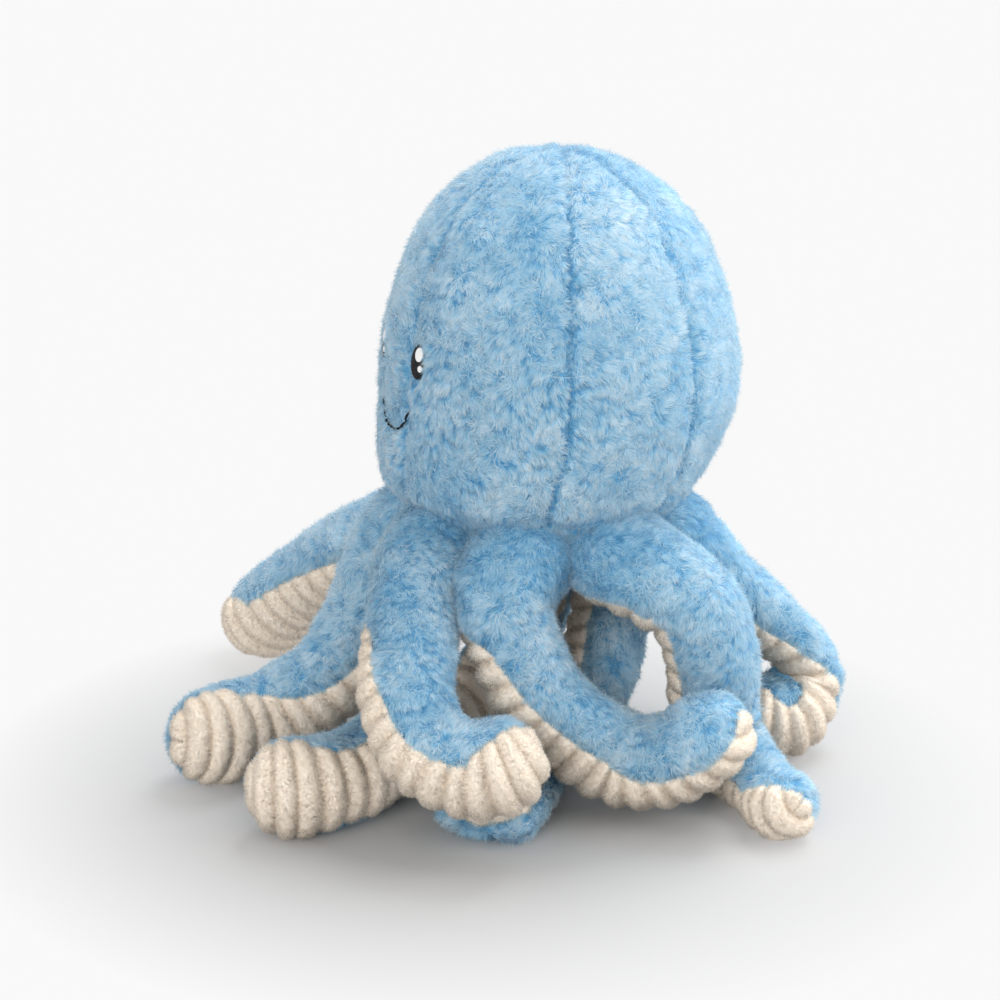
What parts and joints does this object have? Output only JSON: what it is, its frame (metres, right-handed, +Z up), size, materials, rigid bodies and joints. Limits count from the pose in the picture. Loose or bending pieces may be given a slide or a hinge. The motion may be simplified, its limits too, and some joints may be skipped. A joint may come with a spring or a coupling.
{
  "type": "plush octopus",
  "caption": "Stuffed plush octopus sitting on curled arms with ribbed undersides, under a tall leaning head with a small stitched smile.",
  "frame": {"origin": "on the floor, under the middle of the toy's bounding box as it sits", "axes": "+Z up through the head, -Y the way the face looks, give or take the 7 degrees that the head is turned"},
  "size_m": [0.3276, 0.3236, 0.2914],
  "materials": {
    "plush": "sky-blue long-pile plush",
    "ribbed": "cream ribbed short-pile plush",
    "filling": "white polyester fibre filling",
    "black_thread": "black embroidery thread, slight sheen",
    "white_thread": "white embroidery thread, slight sheen"
  },
  "bodies": {
    "head": {"head_gore_1": "plush", "head_gore_2": "plush", "head_gore_3": "plush", "head_gore_4": "plush", "head_gore_5": "plush", "head_gore_6": "plush", "head_stuffing": "filling", "body_base_panel": "plush", "eye_left": "black_thread", "eye_left_glint": "white_thread", "eye_left_small_glint": "white_thread", "eye_right": "black_thread", "eye_right_glint": "white_thread", "eye_right_small_glint": "white_thread", "mouth_stitch": "black_thread"},
    "arm_1": {"arm_1_plush_panel": "plush", "arm_1_ribbed_panel": "ribbed", "arm_1_stuffing": "filling"},
    "arm_2": {"arm_2_plush_panel": "plush", "arm_2_ribbed_panel": "ribbed", "arm_2_stuffing": "filling"},
    "arm_3": {"arm_3_plush_panel": "plush", "arm_3_ribbed_panel": "ribbed", "arm_3_stuffing": "filling"},
    "arm_4": {"arm_4_plush_panel": "plush", "arm_4_ribbed_panel": "ribbed", "arm_4_stuffing": "filling"},
    "arm_5": {"arm_5_plush_panel": "plush", "arm_5_ribbed_panel": "ribbed", "arm_5_stuffing": "filling"},
    "arm_6": {"arm_6_plush_panel": "plush", "arm_6_ribbed_panel": "ribbed", "arm_6_stuffing": "filling"},
    "arm_7": {"arm_7_plush_panel": "plush", "arm_7_ribbed_panel": "ribbed", "arm_7_stuffing": "filling"},
    "arm_8": {"arm_8_plush_panel": "plush", "arm_8_ribbed_panel": "ribbed", "arm_8_stuffing": "filling"}
  },
  "joints": [
    {"name": "arm_1_lift", "type": "hinge", "parent": "head", "child": "arm_1", "pos_m": [0.03563, -0.03155, 0.112], "axis": [-0.9455, -0.3256, 0], "range_deg": [0, 28]},
    {"name": "arm_2_lift", "type": "hinge", "parent": "head", "child": "arm_2", "pos_m": [0.06776, -0.00313, 0.112], "axis": [-0.4384, -0.8988, 0], "range_deg": [0, 24]},
    {"name": "arm_3_lift", "type": "hinge", "parent": "head", "child": "arm_3", "pos_m": [0.07038, 0.03969, 0.112], "axis": [0.866, -0.5, 0], "range_deg": [0, 14]},
    {"name": "arm_4_swing", "type": "hinge", "parent": "head", "child": "arm_4", "pos_m": [0.04195, 0.07182, 0.112], "axis": [0, 0, 1], "range_deg": [-6, 20]},
    {"name": "arm_5_swing", "type": "hinge", "parent": "head", "child": "arm_5", "pos_m": [-0.00087, 0.07444, 0.112], "axis": [0, 0, 1], "range_deg": [-4, 1]},
    {"name": "arm_6_swing", "type": "hinge", "parent": "head", "child": "arm_6", "pos_m": [-0.033, 0.04602, 0.112], "axis": [0, 0, 1], "range_deg": [-6, 4]},
    {"name": "arm_7_swing", "type": "hinge", "parent": "head", "child": "arm_7", "pos_m": [-0.03562, 0.0032, 0.112], "axis": [0, 0, 1], "range_deg": [-35, 6]},
    {"name": "arm_8_lift", "type": "hinge", "parent": "head", "child": "arm_8", "pos_m": [-0.00719, -0.02894, 0.112], "axis": [-0.8988, 0.4384, 0], "range_deg": [0, 38]}
  ]
}
